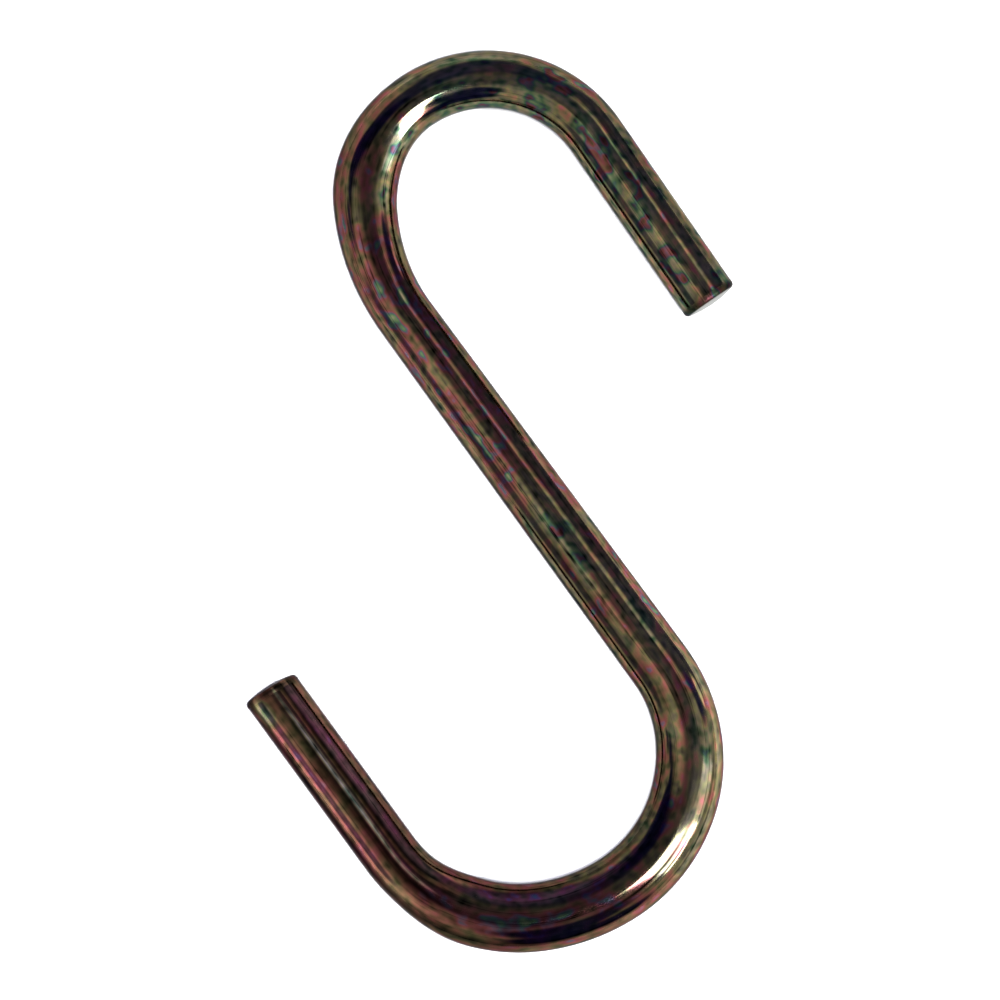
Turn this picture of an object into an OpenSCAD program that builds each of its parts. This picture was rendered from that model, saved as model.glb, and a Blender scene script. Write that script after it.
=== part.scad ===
// Open s hook: one length of round steel wire with a small hook at the top of a straight shank
// and a larger hook at its foot. The hook lies flat: the shank runs along Y, with the small hook
// at +Y, and the wire rests on Z = 0.

/* [Wire] */
// Diameter of the round wire
wire_d = 6.35; // [3:0.05:8]
// Radius that takes the edge off each cut end
end_round = 0.6; // [0.1:0.05:1.2]
// Height of the low dome that shearing and tumbling leave on each cut end
end_dome = 0.4; // [0.1:0.05:1]

/* [Shank] */
// Straight length between the two bends
shank_len = 46.8; // [20:0.1:120]

/* [Small hook] */
// Centreline radius where the bend eases out of the shank
small_ease_r = 23.4; // [15:0.1:40]
// Turn of that easing stretch, in degrees
small_ease_turn = 32; // [10:1:45]
// Centreline radius over the shoulder
small_shoulder_r = 12.7; // [9:0.1:20]
// Turn over the shoulder, in degrees
small_shoulder_turn = 65; // [30:1:90]
// Centreline radius from the crown to the leg
small_crown_r = 14.2; // [9:0.1:25]
// Whole turn from the shank to the leg, in degrees (180 sets the leg parallel)
small_turn = 181.5; // [170:0.5:190]
// Straight length of the leg
small_leg = 22.3; // [8:0.1:40]

/* [Large hook] */
// Centreline radius over the shoulder
large_shoulder_r = 17; // [10:0.1:30]
// Turn over the shoulder, in degrees
large_shoulder_turn = 94; // [60:1:110]
// Centreline radius of the flatter stretch at the foot
large_foot_r = 20.7; // [10:0.1:40]
// Turn of that stretch, in degrees
large_foot_turn = 27; // [10:1:45]
// Centreline radius from the foot to the leg
large_toe_r = 17.3; // [10:0.1:30]
// Whole turn from the shank to the leg, in degrees (180 sets the leg parallel)
large_turn = 180; // [170:0.5:190]
// Straight length of the leg
large_leg = 22.5; // [8:0.1:40]

/* [Pressing] */
// Width that the press adds to the wire at the small hook's shoulder
small_spread = 0.75; // [0:0.05:1.2]
// Place of the widest section along the small bend, in degrees from the shank
small_spread_at = 44; // [30:1:60]
// End of the widening along the small bend, in degrees from the shank
small_spread_end = 92; // [75:1:130]
// Width that the press adds round the large hook
large_spread = 1.2; // [0:0.05:1.5]
// Start of the full width along the large bend, in degrees from the shank
large_spread_from = 52; // [30:1:80]
// End of the full width along the large bend, in degrees from the shank
large_spread_to = 142; // [110:1:150]
// End of the widening along the large bend, in degrees from the shank
large_spread_end = 172; // [160:1:180]
// Width added already at the foot of the shank, from where it fades out towards the top
shank_spread = 0.6; // [0:0.05:1]
// Height that the section loses for each millimetre of added width
press_thin = 0.6; // [0:0.05:1]

/* [Detail] */
// Sides of the section swept through the bends
bend_sides = 40; // [24:4:56]
// Turn from one section of a bend to the next, in degrees
bend_step = 5; // [4:0.5:10]

/* [Hidden] */
$fn = 64;

wire_r = wire_d/2;
// The sweep's facets stand this much proud of the round legs, which run into it
skin = 0.01;
// Length of each leg that the sweep covers
lap = 1;
// Longest stretch of shank between two sections
shank_step = 8;

// Arcs of each bend, from the shank outwards: [radius, turn at its start, turn at its end]
small_arcs = [
    [small_ease_r, 0, small_ease_turn],
    [small_shoulder_r, small_ease_turn, small_ease_turn + small_shoulder_turn],
    [small_crown_r, small_ease_turn + small_shoulder_turn, small_turn],
];
large_arcs = [
    [large_shoulder_r, 0, large_shoulder_turn],
    [large_foot_r, large_shoulder_turn, large_shoulder_turn + large_foot_turn],
    [large_toe_r, large_shoulder_turn + large_foot_turn, large_turn],
];

// Added width along each bend: [turn, width]
small_widths = [[0, 0], [small_spread_at, small_spread], [small_spread_end, 0], [small_turn, 0]];
large_widths = [
    [0, shank_spread], [large_spread_from, large_spread], [large_spread_to, large_spread],
    [large_spread_end, 0], [large_turn, 0],
];

function total(list, i = 0) = i < len(list) ? list[i] + total(list, i + 1) : [0, 0];

// Heading after turning clockwise from +Y
function heading(turn) = [sin(turn), cos(turn)];

// Point on a bend that starts at the origin heading +Y and has turned this far along its arcs
function bend_point(arcs, turn) = total([
    for (arc = arcs)
        let (reached = max(arc[1], min(turn, arc[2])))
        arc[0]*[cos(arc[1]) - cos(reached), sin(reached) - sin(arc[1])]
]);

// Value at x on a curve that eases from point to point
function eased(points, x, i = 0) =
    i + 2 < len(points) && x > points[i + 1][0] ? eased(points, x, i + 1) :
    let (
        span = points[i + 1][0] - points[i][0],
        part = span > 0 ? max(0, min(1, (x - points[i][0])/span)) : 1
    )
    points[i][1] + (points[i + 1][1] - points[i][1])*part*part*(3 - 2*part);

// Station of the sweep: [point, turn of its heading from +Y, half width, half height]
function station(point, turn, added) =
    [point, turn, wire_r + added/2, wire_r - press_thin*added/2];

// Stations of one hook, from the end of the shank round the bend to just past it on the leg
function hook_stations(arcs, widths, whole_turn) =
    let (steps = ceil(whole_turn/bend_step), shank_end = [0, shank_len/2])
    concat(
        [for (i = [0:steps])
            let (turn = whole_turn*i/steps)
            station(shank_end + bend_point(arcs, turn), turn, eased(widths, turn))],
        [station(leg_point(arcs, whole_turn, lap), whole_turn, 0)]
    );

// Point this far along the leg that follows a bend
function leg_point(arcs, whole_turn, along) =
    [0, shank_len/2] + bend_point(arcs, whole_turn) + along*heading(whole_turn);

// The large hook is worked out like the small one, then turned half round about the shank's middle
large_side = hook_stations(large_arcs, large_widths, large_turn);
small_side = hook_stations(small_arcs, small_widths, small_turn);
shank_steps = ceil(shank_len/shank_step);
stations = concat(
    [for (i = [len(large_side) - 1:-1:0])
        let (s = large_side[i]) [-s[0], s[1], s[2], s[3]]],
    [for (i = [1:shank_steps - 1])
        station([0, shank_len*(i/shank_steps - 0.5)], 0, shank_spread*(1 - i/shank_steps))],
    small_side
);

// Corners of a ring lie further out than its sides by this factor
corner = 1/cos(180/bend_sides);
function left(turn) = [-cos(turn), sin(turn)];
function ring(s) = [
    for (i = [0:bend_sides - 1])
        let (
            angle = 360*i/bend_sides,
            across = (s[2] + skin)*corner*cos(angle)*left(s[1]),
            up = (s[3] + skin)*corner*sin(angle)
        )
        [s[0].x + across.x, s[0].y + across.y, up]
];

// Outermost points in plan, which centre the hook on the origin
edges = concat(
    [for (s = stations, side = [-1, 1]) s[0] + side*(s[2] + skin)*corner*left(s[1])],
    [for (side = [-1, 1])
        leg_point(small_arcs, small_turn, small_leg) + side*wire_r*left(small_turn)],
    [for (side = [-1, 1])
        -leg_point(large_arcs, large_turn, large_leg) + side*wire_r*left(large_turn)]
);
xs = [for (p = edges) p.x];
ys = [for (p = edges) p.y];
middle = [(min(xs) + max(xs))/2, (min(ys) + max(ys))/2];
axis_height = (wire_r + skin)*corner;

// Bends and shank: one sweep of the pressed section through every station
module bends() {
    rings = len(stations);
    side_faces = [
        for (r = [0:rings - 2], i = [0:bend_sides - 1])
            let (a = r*bend_sides, b = a + bend_sides, next = (i + 1)%bend_sides)
            [a + i, b + i, b + next, a + next]
    ];
    first_cap = [for (i = [0:bend_sides - 1]) i];
    last_cap = [for (i = [bend_sides - 1:-1:0]) (rings - 1)*bend_sides + i];
    polyhedron([for (s = stations) each ring(s)], concat(side_faces, [first_cap, last_cap]));
}

// Round leg along +Z, with a low dome on its cut end and the edge between them rounded off
module leg(length) {
    dome_r = (wire_r^2 + end_dome^2)/(2*end_dome);
    dome_z = length - dome_r;
    edge_x = wire_r - end_round;
    edge_z = dome_z + sqrt((dome_r - end_round)^2 - edge_x^2);
    edge_meets_dome = edge_x*dome_r/(dome_r - end_round);
    rotate_extrude() intersection() {
        translate([0, lap/2]) square([wire_d, length]);
        union() {
            square([wire_r, edge_z]);
            translate([edge_x, edge_z]) circle(end_round);
            intersection() {
                square([edge_meets_dome, length]);
                translate([0, dome_z]) circle(dome_r);
            }
        }
    }
}

module placed_leg(arcs, whole_turn, length) {
    translate(leg_point(arcs, whole_turn, 0)) rotate(-whole_turn) rotate([-90, 0, 0]) leg(length);
}

module hook() {
    color("darkolivegreen")
        translate([-middle.x, -middle.y, axis_height]) {
            bends();
            placed_leg(small_arcs, small_turn, small_leg);
            rotate(180) placed_leg(large_arcs, large_turn, large_leg);
        }
}

hook();
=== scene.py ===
import bpy
import numpy as np
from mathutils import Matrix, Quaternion, Vector


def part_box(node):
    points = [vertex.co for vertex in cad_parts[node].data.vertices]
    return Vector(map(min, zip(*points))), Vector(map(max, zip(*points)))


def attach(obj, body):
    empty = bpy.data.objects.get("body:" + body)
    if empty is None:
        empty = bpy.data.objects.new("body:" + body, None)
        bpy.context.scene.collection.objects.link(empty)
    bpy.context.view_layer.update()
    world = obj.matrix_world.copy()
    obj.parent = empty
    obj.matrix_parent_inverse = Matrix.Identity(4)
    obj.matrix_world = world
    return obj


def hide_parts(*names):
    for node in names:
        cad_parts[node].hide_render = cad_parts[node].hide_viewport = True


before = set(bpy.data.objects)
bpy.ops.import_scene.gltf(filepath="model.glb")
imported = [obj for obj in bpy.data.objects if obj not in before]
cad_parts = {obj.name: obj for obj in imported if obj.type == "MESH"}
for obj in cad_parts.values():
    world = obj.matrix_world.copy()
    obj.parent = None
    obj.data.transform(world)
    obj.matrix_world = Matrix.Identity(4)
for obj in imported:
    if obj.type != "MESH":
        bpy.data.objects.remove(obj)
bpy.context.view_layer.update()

# ---- The wire ----
# The whole hook is one length of round low carbon steel wire, sheared off and bent cold round
# two formers in a press, which squeezes it a little wider and flatter where it bends. It was
# then barrel plated with zinc and dipped in yellow chromate.
mm = 0.001
wire_r = 6.35/2*mm
shank_len = 46.8*mm
# Arcs of each bend, from the shank outwards: (centreline radius, turn in degrees at its start
# and at its end)
small_arcs = ((23.4*mm, 0, 32), (12.7*mm, 32, 97), (14.2*mm, 97, 181.5))
large_arcs = ((17.0*mm, 0, 94), (20.7*mm, 94, 121), (17.3*mm, 121, 180))
small_leg = 22.3*mm
large_leg = 22.5*mm
# Width that the press adds round each bend: (turn in degrees, added width)
small_widths = ((0, 0), (44, 0.75*mm), (92, 0))
large_widths = ((0, 0.6*mm), (52, 1.2*mm), (142, 1.2*mm), (172, 0))
# Height that the section loses for each part of added width
press_thin = 0.6
# Shearing and tumbling leave a low dome on each end, with its edge rounded off
end_round = 0.6*mm
end_dome = 0.4*mm
# Slopes of the cuts: sideways on the large hook's end, and in height on both. They die out this
# far along the wire
large_end_slant = 0.075
end_lean = 0.03
slant_reach = 4*mm


def side_length(arcs, leg):
    """Length from the shank's middle to a cut end: half the shank, each arc's radius times its
    turn in radians, and the leg."""
    return shank_len/2 + sum(r*np.radians(stop - start) for r, start, stop in arcs) + leg


def side_line(arcs, along):
    """Centre line from the shank's middle, given at distances along it. The turn grows evenly
    over each arc and holds still on the shank and the leg. An arc moves the line by its radius
    times (cos start - cos turn, sin turn - sin start). Returns the points and turns in radians."""
    knots = np.cumsum([shank_len/2] + [r*np.radians(stop - start) for r, start, stop in arcs])
    turn = np.radians(np.interp(along, knots, [0] + [stop for r, start, stop in arcs]))
    straight = np.clip(along, 0, shank_len/2)
    point = np.stack([np.zeros_like(along), straight], 1)
    for radius, start, stop in arcs:
        start, stop = np.radians(start), np.radians(stop)
        reached = np.clip(turn, start, stop)
        sideways = np.cos(start) - np.cos(reached)
        forwards = np.sin(reached) - np.sin(start)
        point += radius*np.stack([sideways, forwards], 1)
    on_leg = np.maximum(along - knots[-1], 0)[:, None]
    return point + on_leg*np.stack([np.sin(turn), np.cos(turn)], 1), turn


def eased(points, x):
    """A value that runs from point to point, easing in and out by 3p^2 - 2p^3 of each span, and
    that stays at the last point's value beyond it."""
    at, value = np.array(points, float).T
    left = np.clip(np.searchsorted(at, x, side="right") - 1, 0, len(at) - 2)
    part = np.clip((x - at[left])/(at[left + 1] - at[left]), 0, 1)
    return value[left] + (value[left + 1] - value[left])*part*part*(3 - 2*part)


def hook_line(along):
    """Centre line of the whole hook, with 0 at the shank's middle and the small hook at the
    positive end. The large side is worked out like the small one and turned half round. The
    added width grows evenly down the shank. Gives points, turns, and half the section's width
    and height."""
    small_point, small_turn = side_line(small_arcs, np.maximum(along, 0))
    large_point, large_turn = side_line(large_arcs, np.maximum(-along, 0))
    small_side = along >= 0
    point = np.where(small_side[:, None], small_point, -large_point)
    turn = np.where(small_side, small_turn, large_turn)
    shank_part = np.clip(0.5 - along/shank_len, 0, 1)
    shank_added = large_widths[0][1]*shank_part
    bend_added = np.where(small_side, eased(small_widths, np.degrees(turn)),
                          eased(large_widths, np.degrees(turn)))
    added = np.where(turn == 0, shank_added, bend_added)
    return point, turn, wire_r + added/2, wire_r - press_thin*added/2


def end_profile(dome_rings=6, edge_rings=9):
    """Radius and depth behind the tip of each ring on a cut end, by the angle that the surface
    faces away from the wire's line. Up to the angle where they touch it is a dome, R*sin a and
    R*(1 - cos a), and beyond that a round edge of radius e about a circle inside the wall."""
    dome_r = (wire_r**2 + end_dome**2)/(2*end_dome)
    edge_r = wire_r - end_round
    edge_depth = dome_r - np.sqrt((dome_r - end_round)**2 - edge_r**2)
    touch = np.arcsin(edge_r/(dome_r - end_round))
    dome = np.linspace(0, touch, dome_rings)[1:]
    edge = np.linspace(touch, np.pi/2, edge_rings)[1:]
    radius = np.concatenate([dome_r*np.sin(dome), edge_r + end_round*np.sin(edge)])
    depth = np.concatenate([dome_r*(1 - np.cos(dome)), edge_depth - end_round*np.cos(edge)])
    return radius, depth


def swept_wire(name, step=0.4*mm, sides=96):
    """The section (half width*cos a to the left of the path, half height*sin a upwards) carried
    along the centre line, drawn in over each end's profile and closed by a point. Stores where
    each point lies on the wire when it is pulled straight: across, up and along."""
    first, last = -side_length(large_arcs, large_leg), side_length(small_arcs, small_leg)
    radius, depth = end_profile()
    rings = int((last - first - 2*depth[-1])/step)
    body = np.linspace(first + depth[-1], last - depth[-1], rings + 1)[1:-1]
    along = np.concatenate([first + depth, body, (last - depth)[::-1]])
    inset = wire_r - np.concatenate([radius, np.full(len(body), wire_r), radius[::-1]])

    # Each ring in its own section, slid along the wire near a slanted cut
    point, turn, half_width, half_height = hook_line(along)
    angle = np.linspace(0, 2*np.pi, sides, endpoint=False)
    across = (half_width - inset)[:, None]*np.cos(angle)
    up = (half_height - inset)[:, None]*np.sin(angle)
    near_large = np.clip(1 - (along - first - depth[-1])/slant_reach, 0, 1)
    near_small = np.clip(1 - (last - depth[-1] - along)/slant_reach, 0, 1)
    slant = (large_end_slant*near_large)[:, None]
    lean = (end_lean*(near_large + near_small))[:, None]
    slid = across*slant - up*lean

    # The rings placed on the bent line, and where the same points lie on straight wire
    left = np.stack([-np.cos(turn), np.sin(turn)], 1)[:, None]
    ahead = np.stack([np.sin(turn), np.cos(turn)], 1)[:, None]
    plan = point[:, None] + across[..., None]*left + slid[..., None]*ahead
    tube = np.concatenate([plan, up[..., None]], 2).reshape(-1, 3)
    straight = np.stack([across, up, np.broadcast_to(along[:, None], up.shape)], 2).reshape(-1, 3)
    tips = hook_line(np.array([first, last]))[0]
    vertices = np.concatenate([tube, np.append(tips, [[0], [0]], 1)])
    straight = np.concatenate([straight, [[0, 0, first], [0, 0, last]]])

    # The origin is in the middle of the hook in plan, and the wire's middle is half its height up
    vertices[:, :2] -= (vertices[:, :2].min(0) + vertices[:, :2].max(0))/2
    low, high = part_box("hook")
    vertices[:, 2] += (low.z + high.z)/2

    # Four-sided faces between rings, and a fan of triangles from each tip to its nearest ring
    count = len(along)
    column = np.arange(sides)
    beside = np.roll(column, -1)
    row = np.arange(count - 1)[:, None]*sides
    quads = np.stack([row + column, row + beside, row + beside + sides, row + column + sides], 2)
    far = (count - 1)*sides
    near_fan = np.stack([np.full(sides, count*sides), beside, column], 1)
    far_fan = np.stack([np.full(sides, count*sides + 1), far + column, far + beside], 1)
    faces = quads.reshape(-1, 4).tolist() + near_fan.tolist() + far_fan.tolist()

    mesh = bpy.data.meshes.new(name)
    mesh.from_pydata(vertices.tolist(), [], faces)
    mesh.polygons.foreach_set("use_smooth", np.ones(len(faces), bool))
    stored = mesh.attributes.new("straight", "FLOAT_VECTOR", "POINT")
    stored.data.foreach_set("vector", straight.ravel())
    piece = bpy.data.objects.new(name, mesh)
    bpy.context.scene.collection.objects.link(piece)
    return piece


def add_node(tree, kind, sockets=None, **settings):
    """A node with its settings, whose sockets each take a value or another node's output."""
    made = tree.nodes.new(kind)
    for name, value in settings.items():
        setattr(made, name, value)
    for name, value in (sockets or {}).items():
        if isinstance(value, bpy.types.NodeSocket):
            tree.links.new(value, made.inputs[name])
        else:
            made.inputs[name].default_value = value
    return made


def number_math(tree, operation, *values):
    """One operation, such as MULTIPLY, on sockets or numbers."""
    made = add_node(tree, "ShaderNodeMath", dict(enumerate(values)), operation=operation)
    return made.outputs["Value"]


def vector_math(tree, operation, *values):
    """One operation on vectors. A length and a dot product give a number."""
    made = add_node(tree, "ShaderNodeVectorMath", dict(enumerate(values)), operation=operation)
    return made.outputs["Value" if operation in ("LENGTH", "DOT_PRODUCT") else "Vector"]


def add_up(tree, *values):
    """The sum of several sockets or numbers."""
    total = values[0]
    for value in values[1:]:
        total = number_math(tree, "ADD", total, value)
    return total


def scaled_value(tree, value, low, high, new_low=0.0, new_high=1.0, **settings):
    """The value's range from low to high carried over to a new range, and held there."""
    made = add_node(tree, "ShaderNodeMapRange", {
        "Value": value, "From Min": low, "From Max": high, "To Min": new_low,
        "To Max": new_high}, **settings)
    return made.outputs["Result"]


def colour_ramp(tree, factor, stops):
    """A ramp that runs evenly through (position, (red, green, blue)) stops."""
    ramp = add_node(tree, "ShaderNodeValToRGB", {"Fac": factor})
    elements = ramp.color_ramp.elements
    while len(elements) < len(stops):
        elements.new(0.5)
    for element, (position, colour) in zip(elements, stops):
        element.position = position
        element.color = (*colour, 1)
    return ramp.outputs["Color"]


def stretched_noise(tree, place, lengths, detail, shift=0.0):
    """Noise whose clouds have these lengths across the wire, up and along it. A shift sets it
    apart from other noise of the same kind."""
    scaled = add_node(tree, "ShaderNodeMapping", {
        "Vector": place, "Scale": [1/length for length in lengths], "Location": (shift, 0, 0)})
    made = add_node(tree, "ShaderNodeTexNoise", {
        "Vector": scaled.outputs["Vector"], "Scale": 1.0, "Detail": detail})
    return made.outputs["Fac"]


# Yellow chromate is a thin film, and its colour runs through gold, copper, rose, purple and green
# with its thickness. Stops are the film's tints from thin to thick, and beyond 1 they start over.
film_tints = (
    (0.00, (0.113, 0.104, 0.046)),
    (0.11, (0.148, 0.096, 0.051)),
    (0.24, (0.159, 0.068, 0.045)),
    (0.35, (0.158, 0.045, 0.046)),
    (0.40, (0.136, 0.054, 0.067)),
    (0.46, (0.081, 0.054, 0.073)),
    (0.52, (0.041, 0.071, 0.064)),
    (0.60, (0.053, 0.095, 0.046)),
    (0.72, (0.090, 0.104, 0.056)),
    (0.86, (0.125, 0.100, 0.064)),
    (1.00, (0.113, 0.104, 0.046)),
)
# Colour at a grazing view, and where the film is rubbed off
edge_tint = (0.50, 0.50, 0.52)
bare_metal = (0.29, 0.29, 0.25)
# The film along the wire, from the large hook's end (0) to the small one's (1): (place, mean
# thickness, share of its clouds' swing that it shows)
film_drift = (
    (0.00, 1.20, 0.35), (0.12, 1.19, 0.35), (0.21, 1.13, 0.6), (0.29, 1.07, 0.9),
    (0.36, 1.06, 0.9), (0.47, 1.02, 1.0), (0.56, 1.18, 1.0), (0.65, 1.20, 0.9),
    (0.73, 1.20, 0.8), (0.80, 0.76, 0.9), (0.86, 0.74, 1.1), (0.93, 0.80, 1.1),
    (1.00, 0.80, 1.1),
)
# Share of its tint that the plating shows along the wire: (place, share). It is darker over the
# large hook than over the rest, and its drops at the two cut ends are painted shade
paleness_and_painted_shade = (
    (0.0000, 0.08), (0.0032, 0.10), (0.0060, 0.50), (0.10, 0.44), (0.15, 0.34), (0.21, 0.40),
    (0.29, 0.44), (0.36, 0.70), (0.43, 0.78), (0.50, 0.70), (0.60, 0.62), (0.78, 0.64),
    (0.88, 0.76), (0.9940, 0.76), (0.9952, 0.18),
)
# Clouds in the plating: (length across the wire and along it, detail, shift, noise where the
# swing starts and where it ends, swing of the film's thickness, swing of its shade)
clouds = {
    "blotch": (2.2*mm, 6*mm, 1.0, 0.0, 0.30, 0.70, 0.28, 0.00),
    "streak": (0.55*mm, 8*mm, 1.0, 0.0, 0.25, 0.75, 0.06, 0.28),
    "mottle": (0.62*mm, 0.95*mm, 0.5, 0.0, 0.20, 0.80, 0.20, 0.52),
    "fleck": (1.2*mm, 1.7*mm, 0.0, 40.0, 0.20, 0.80, 0.28, 0.25),
}
# Fine grooves that grit in the drawing die left along the wire, painted darker as painted
# shade where they break a reflection: their lengths across it, up and along it, the shift that
# sets them apart from the clouds, the noise where one starts and is full, and the painted shade
# that it adds
groove_lengths = (0.16*mm, 0.16*mm, 22*mm)
groove_shift = 80.0
groove_start, groove_full = 0.64, 0.72
groove_painted_shade = -0.50
# Patches where the film is thicker or thinner, and where painted highlights, painted reflections
# and painted shade lighten or darken the plating: (how far to the right of the path and up from
# the wire's middle, place along it, half width, half length, change in the film, share of painted
# light that it adds, or of painted shade below 0). As parts of its half size, a patch is full out
# to its core and gone beyond its rim
patch_core, patch_rim = 0.3, 1.2
patches = (
    (1.9*mm, 2.55*mm, -88*mm, 0.75*mm, 18*mm, 0.05, 4.2),
    (2.7*mm, 1.6*mm, -87*mm, 0.8*mm, 21*mm, 0.10, -0.85),
    (1.9*mm, 2.5*mm, -99*mm, 1.0*mm, 1.6*mm, -0.55, 0.0),
    (-1.1*mm, 2.98*mm, -88*mm, 0.45*mm, 22*mm, 0.00, -0.85),
    (-0.30*mm, 3.16*mm, -87*mm, 0.27*mm, 17*mm, -0.35, 9.0),
    (-1.8*mm, 2.6*mm, -90*mm, 0.6*mm, 16*mm, 0.02, 4.6),
    (0.40*mm, 3.14*mm, -82*mm, 0.6*mm, 27*mm, 0.00, -0.85),
    (2.9*mm, 1.7*mm, -65*mm, 0.7*mm, 13*mm, 0.00, -0.60),
    (-2.8*mm, 1.7*mm, -52*mm, 0.7*mm, 18*mm, 0.00, -0.50),
    (-2.2*mm, 2.3*mm, -62*mm, 0.8*mm, 15*mm, 0.12, 3.2),
    (0.6*mm, 3.0*mm, -62*mm, 1.5*mm, 13*mm, 0.30, 0.2),
    (3.2*mm, 1.5*mm, -46*mm, 0.8*mm, 17*mm, 0.12, 1.2),
    (1.4*mm, 2.61*mm, -47*mm, 0.24*mm, 9*mm, 0.00, -0.96),
    (1.9*mm, 2.43*mm, -45*mm, 0.16*mm, 5*mm, 0.00, -0.92),
    (1.3*mm, 2.5*mm, -38*mm, 1.2*mm, 5*mm, -0.15, 0.0),
    (1.5*mm, 2.8*mm, 41*mm, 1.0*mm, 5*mm, -0.25, -0.3),
    (-1.7*mm, 2.6*mm, -20*mm, 0.6*mm, 24*mm, 0.00, -0.45),
    (-3.05*mm, 0.9*mm, -10*mm, 0.8*mm, 52*mm, 0.00, -0.65),
    (-2.9*mm, 1.5*mm, 40*mm, 1.1*mm, 9*mm, 0.00, -0.35),
    (2.6*mm, 1.8*mm, -30*mm, 1.4*mm, 20*mm, -0.06, 0.5),
    (-1.5*mm, 2.8*mm, 18*mm, 1.1*mm, 18*mm, 0.05, 0.7),
    (-0.5*mm, 3.1*mm, -3*mm, 1.3*mm, 18*mm, -0.15, 0.1),
    (-0.4*mm, 3.1*mm, 36*mm, 1.6*mm, 15*mm, 0.09, -0.2),
    (2.2*mm, 2.2*mm, 40*mm, 1.0*mm, 9*mm, -0.28, 1.5),
    (-2.9*mm, 1.3*mm, 66*mm, 1.2*mm, 22*mm, 0.35, 0.0),
    (-3.1*mm, 0.7*mm, 84*mm, 0.7*mm, 12*mm, 0.00, 0.8),
    (-2.5*mm, 2.0*mm, 80*mm, 0.8*mm, 22*mm, 0.00, -0.5),
    (-1.3*mm, 2.9*mm, 93.4*mm, 1.8*mm, 0.8*mm, 0.45, 0.0),
)
# Roughness by the streaks: (noise where it starts to rise and where it stops, least roughness,
# most), and what a cut end adds to it
streak_roughness = (0.2, 0.8, 0.06, 0.13)
cut_roughness = 0.35
# Distances from a tip where the cut face's roughness starts and is full, and where the small
# hook's film starts to be rubbed off and is gone
cut_start, cut_full = 1.25*mm, 0.95*mm
rubbed_start, rubbed_full = 0.38*mm, 0.28*mm
# Relief: the lengths and fineness of the scoring that the shears left in the cut faces, the
# height and strength of a full mark, and the part of that height that the streaks reach
score_lengths = (0.10*mm, 1.2*mm, 3*mm)
score_detail = 2.0
mark_height = 0.02*mm
mark_strength = 0.5
streak_relief = 0.3


def plating_colour_and_painted_light(tree, place, share, noises):
    """Film thickness is the clouds' sum times its share plus its mean at that place, changed in
    the patches, and wraps round to give the tint. The tint is multiplied by the plating's share
    along the wire, whose drops at the cut ends are painted shade, by the painted highlights,
    painted reflections and painted shade of the patches, and by 1 plus the clouds' swings of
    shade and the grooves' painted shade."""
    film_swings, shade_swings = [], [1.0]
    for name, (*_, low, high, film_swing, shade_swing) in clouds.items():
        noise = noises[name]
        film_swings.append(scaled_value(tree, noise, low, high, -film_swing, film_swing))
        shade_swings.append(scaled_value(tree, noise, low, high, -shade_swing, shade_swing))
    mean = colour_ramp(tree, share, [(at, (film,)*3) for at, film, _ in film_drift])
    swing = colour_ramp(tree, share, [(at, (part,)*3) for at, _, part in film_drift])
    # The plating's share along the wire, with painted shade at the cut ends
    pale = colour_ramp(tree, share, [(at, (part,)*3) for at, part in paleness_and_painted_shade])
    film = number_math(tree, "MULTIPLY_ADD", add_up(tree, *film_swings), swing, mean)
    # The stored places count across the wire from right to left
    for right, high, at, half_width, half_length, film_change, painted_light_and_shade in patches:
        offset = vector_math(tree, "SUBTRACT", place, (-right, high, at))
        offset = vector_math(tree, "MULTIPLY", offset, (1/half_width, 1/half_width, 1/half_length))
        apart = vector_math(tree, "LENGTH", offset)
        changed = scaled_value(tree, apart, patch_core, patch_rim, film_change, 0.0)
        film = add_up(tree, film, changed)
        # Painted highlights, painted reflections and painted shade of the patch
        paler = scaled_value(tree, apart, patch_core, patch_rim, 1 + painted_light_and_shade, 1.0)
        pale = number_math(tree, "MULTIPLY", pale, paler)
    tint = colour_ramp(tree, number_math(tree, "WRAP", film, 1.0, 0.0), film_tints)
    # Painted shade along the grooves, where they break a reflection
    groove = stretched_noise(tree, place, groove_lengths, 0.0, groove_shift)
    groove = scaled_value(tree, groove, groove_start, groove_full)
    darker = scaled_value(tree, groove, 0.0, 1.0, 0.0, groove_painted_shade)
    shade = number_math(tree, "MULTIPLY", add_up(tree, *shade_swings, darker), pale)
    return vector_math(tree, "MULTIPLY", tint, shade)


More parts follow.
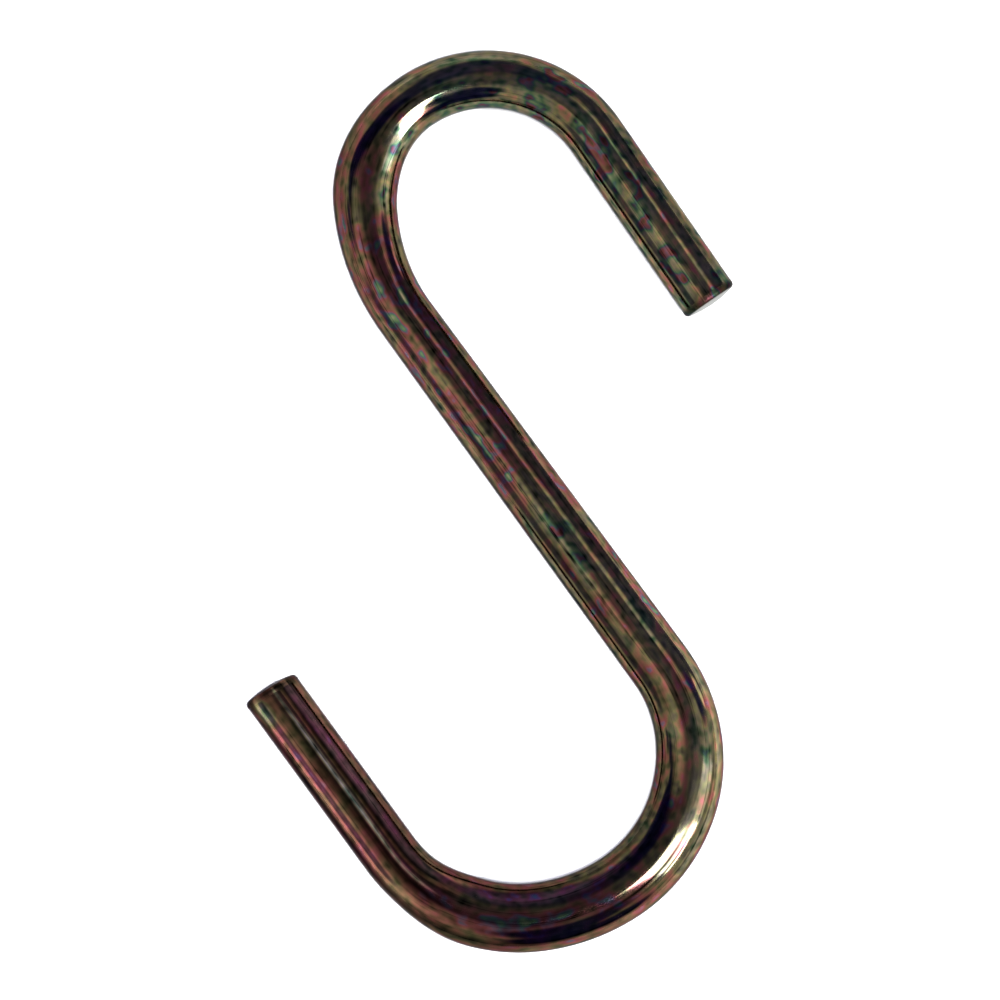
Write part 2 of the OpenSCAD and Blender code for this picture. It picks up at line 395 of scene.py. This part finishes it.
def chromate_plating():
    """Dark glossy yellow chromate on zinc, in blotches, fine mottling, and the lines that drawing
    the wire through its die left along it, with painted highlights, painted reflections and
    painted shade in patches, on the grooves and at the cut ends. The cut ends are rougher, and the
    small hook's has its film rubbed off."""
    material = bpy.data.materials.new("yellow_chromate_and_painted_light")
    material.use_nodes = True
    tree = material.node_tree
    shader = tree.nodes["Principled BSDF"]
    place = add_node(tree, "ShaderNodeAttribute", attribute_name="straight").outputs["Vector"]
    along = add_node(tree, "ShaderNodeSeparateXYZ", {"Vector": place}).outputs["Z"]
    first, last = -side_length(large_arcs, large_leg), side_length(small_arcs, small_leg)
    share = scaled_value(tree, along, first, last)
    noises = {name: stretched_noise(tree, place, (across, across, length), detail, shift)
              for name, (across, length, detail, shift, *_) in clouds.items()}
    coating_and_painted_light = plating_colour_and_painted_light(tree, place, share, noises)
    rubbed = scaled_value(tree, along, last - rubbed_start, last - rubbed_full)
    base_colour_and_painted_light = add_node(tree, "ShaderNodeMix", {
        0: rubbed, 6: coating_and_painted_light, 7: (*bare_metal, 1)}, data_type="RGBA")
    tree.links.new(base_colour_and_painted_light.outputs[2], shader.inputs["Base Color"])
    shader.inputs["Metallic"].default_value = 1.0
    shader.inputs["Specular Tint"].default_value = (*edge_tint, 1)

    # How far into a cut face a point lies, from its distance to the wire's middle
    from_middle = number_math(tree, "SUBTRACT", along, (last + first)/2)
    from_middle = number_math(tree, "ABSOLUTE", from_middle)
    half_length = (last - first)/2
    cut = scaled_value(tree, from_middle, half_length - cut_start, half_length - cut_full)
    roughness = add_up(tree, scaled_value(tree, noises["streak"], *streak_roughness),
                       scaled_value(tree, cut, 0.0, 1.0, 0.0, cut_roughness))
    tree.links.new(roughness, shader.inputs["Roughness"])
    scoring = stretched_noise(tree, place, score_lengths, score_detail)
    relief = add_up(tree, scaled_value(tree, noises["streak"], 0.0, 1.0, 0.0, streak_relief),
                    number_math(tree, "MULTIPLY", scoring, cut))
    marks = add_node(tree, "ShaderNodeBump", {
        "Height": relief, "Strength": mark_strength, "Distance": mark_height})
    tree.links.new(marks.outputs["Normal"], shader.inputs["Normal"])
    return material


hook = swept_wire("s_hook_wire")
hook.data.materials.append(chromate_plating())
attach(hook, "root")
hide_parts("hook")

# ---- The floor ----
# A plain, pale, matt table top, six metres square. It has no gloss, so that only the hook's
# soft shadow shows on it.
floor_half = 3.0
floor_colour = (0.85, 0.85, 0.85)
floor_roughness = 0.8
floor_corners = ((-1, -1), (1, -1), (1, 1), (-1, 1))
mesh = bpy.data.meshes.new("floor")
mesh.from_pydata([(x*floor_half, y*floor_half, 0) for x, y in floor_corners], [], [(0, 1, 2, 3)])
floor = bpy.data.objects.new("floor", mesh)
bpy.context.scene.collection.objects.link(floor)
floor_paint = bpy.data.materials.new("floor_paint")
floor_paint.use_nodes = True
paint = floor_paint.node_tree.nodes["Principled BSDF"]
paint.inputs["Base Color"].default_value = (*floor_colour, 1)
paint.inputs["Roughness"].default_value = floor_roughness
paint.inputs["Specular IOR Level"].default_value = 0.0
mesh.materials.append(floor_paint)

# ---- Studio ----
# A pale room with dark and bright screens round the hook. Close by it are one tall soft light
# that leans a little and a dim one beside it, which show in the plating's gloss alone. Two suns
# light the table top alone.
light_colour = (0.88, 0.96, 1.22)


def soft_light(name, place, aim, size, brightness, lean):
    """A flat rectangular light at a place, facing a point, of a size (across, along), leaning
    sideways by so many degrees. Its power is its brightness times four times its area."""
    data = bpy.data.lights.new(name, "AREA")
    data.shape = "RECTANGLE"
    data.size, data.size_y = size
    data.energy = brightness*4*size[0]*size[1]
    data.color = light_colour
    light = bpy.data.objects.new(name, data)
    light.location = place
    light.rotation_mode = "QUATERNION"
    facing = (Vector(aim) - Vector(place)).to_track_quat("-Z", "Y")
    light.rotation_quaternion = facing @ Quaternion((0, 0, 1), np.radians(lean))
    light.visible_camera = False
    light.visible_diffuse = False
    bpy.context.scene.collection.objects.link(light)


# Each light's name, place, the point that it faces, and its size, brightness and lean
soft_light("key", (0.031, -0.20, 0.395), (0.031, 0, 0.395), (0.066, 0.55), 55, 5.5)
soft_light("key_spill", (0.142, -0.205, 0.235), (0.142, 0, 0.235), (0.136, 0.25), 3, 0)

# One sun straight above, and one slanting in from the key's side, whose soft shadow darkens the
# table beyond the wire: (name, angle from straight up, strength)
suns = (("overhead", 0, 3.3), ("side", 55, 4.6))
# Turn of that slant about the upright, and the suns' width in the sky, which softens the shadow
sun_turn = np.radians(45)
sun_width = np.radians(6)
for name, tilt, strength in suns:
    sun = bpy.data.objects.new(name, bpy.data.lights.new(name, "SUN"))
    sun.data.angle = sun_width
    sun.data.energy = strength
    sun.rotation_euler = (np.radians(tilt), 0, sun_turn)
    sun.visible_glossy = False
    bpy.context.scene.collection.objects.link(sun)

# Brightness of the room's walls, and the screens in front of them: (azimuth from +X, angle from
# straight up, angle out to its full tone, angle where it ends, brightness)
wall_tone = 0.95
screens = (
    (0, 0, 16, 40, 0.26), (55, 52, 20, 36, 0.11), (95, 38, 16, 26, 0.10), (118, 33, 9, 18, 0.02),
    (122, 50, 8, 14, 0.03), (140, 46, 4, 10, 0.05), (149, 56, 3, 8, 0.06), (153, 66, 2, 6, 0.10),
    (174, 33, 7, 27, 1.35), (202, 42, 12, 28, 0.85), (178, 68, 8, 16, 0.20),
    (-112, 45, 11, 19, 0.04), (-115, 68, 11, 19, 0.04), (-98, 72, 8, 14, 0.05),
    (0, 17, 8, 16, 0.20), (0, 66, 20, 28, 0.15), (-17, 56, 5, 11, 0.07), (-15, 74, 3, 7, 2.5),
    (0, 34, 1, 5, 1.5), (8, 34, 1, 5, 1.1), (-8, 34, 1, 5, 1.5),
)
# Colour that each brightness is multiplied by, which turns the darkest screens blue
room_casts = (
    (0.00, (0.80, 1.12, 15.68)), (0.05, (1.20, 1.408, 7.36)), (0.12, (1.488, 1.536, 3.20)),
    (0.25, (1.60, 1.60, 2.08)), (0.80, (1.60, 1.60, 1.568)),
)
world = bpy.data.worlds.new("room")
world.use_nodes = True
bpy.context.scene.world = world
tree = world.node_tree
direction = add_node(tree, "ShaderNodeTexCoord").outputs["Generated"]
tone = wall_tone
for azimuth, tilt, full, end, brightness in screens:
    azimuth, tilt, full, end = np.radians([azimuth, tilt, full, end])
    centre = (np.sin(tilt)*np.cos(azimuth), np.sin(tilt)*np.sin(azimuth), np.cos(tilt))
    facing = vector_math(tree, "DOT_PRODUCT", direction, centre)
    mask = scaled_value(tree, facing, np.cos(end), np.cos(full), interpolation_type="SMOOTHSTEP")
    tone = add_node(tree, "ShaderNodeMix", {0: mask, 2: tone, 3: brightness}).outputs[0]
lit = vector_math(tree, "MULTIPLY", colour_ramp(tree, tone, room_casts), tone)
tree.links.new(lit, tree.nodes["Background"].inputs["Color"])
bpy.context.scene.view_settings.view_transform = "Standard"

# ---- Camera ----
# It looks straight down on the hook with a long lens, and is turned so that the shank leans to
# the left. The width that it sees is measured at the height of the wire's middle.
camera_height = 1.2
view_width = 108.8*mm
view_centre = (0.263*mm, 0.947*mm)
view_turn = np.radians(-36.13)
camera_data = bpy.data.cameras.new("camera")
camera = bpy.data.objects.new("camera", camera_data)
bpy.context.scene.collection.objects.link(camera)
camera_data.lens = camera_data.sensor_width*(camera_height - wire_r)/view_width
camera.location = (*view_centre, camera_height)
camera.rotation_euler = (0, 0, view_turn)
bpy.context.scene.camera = camera
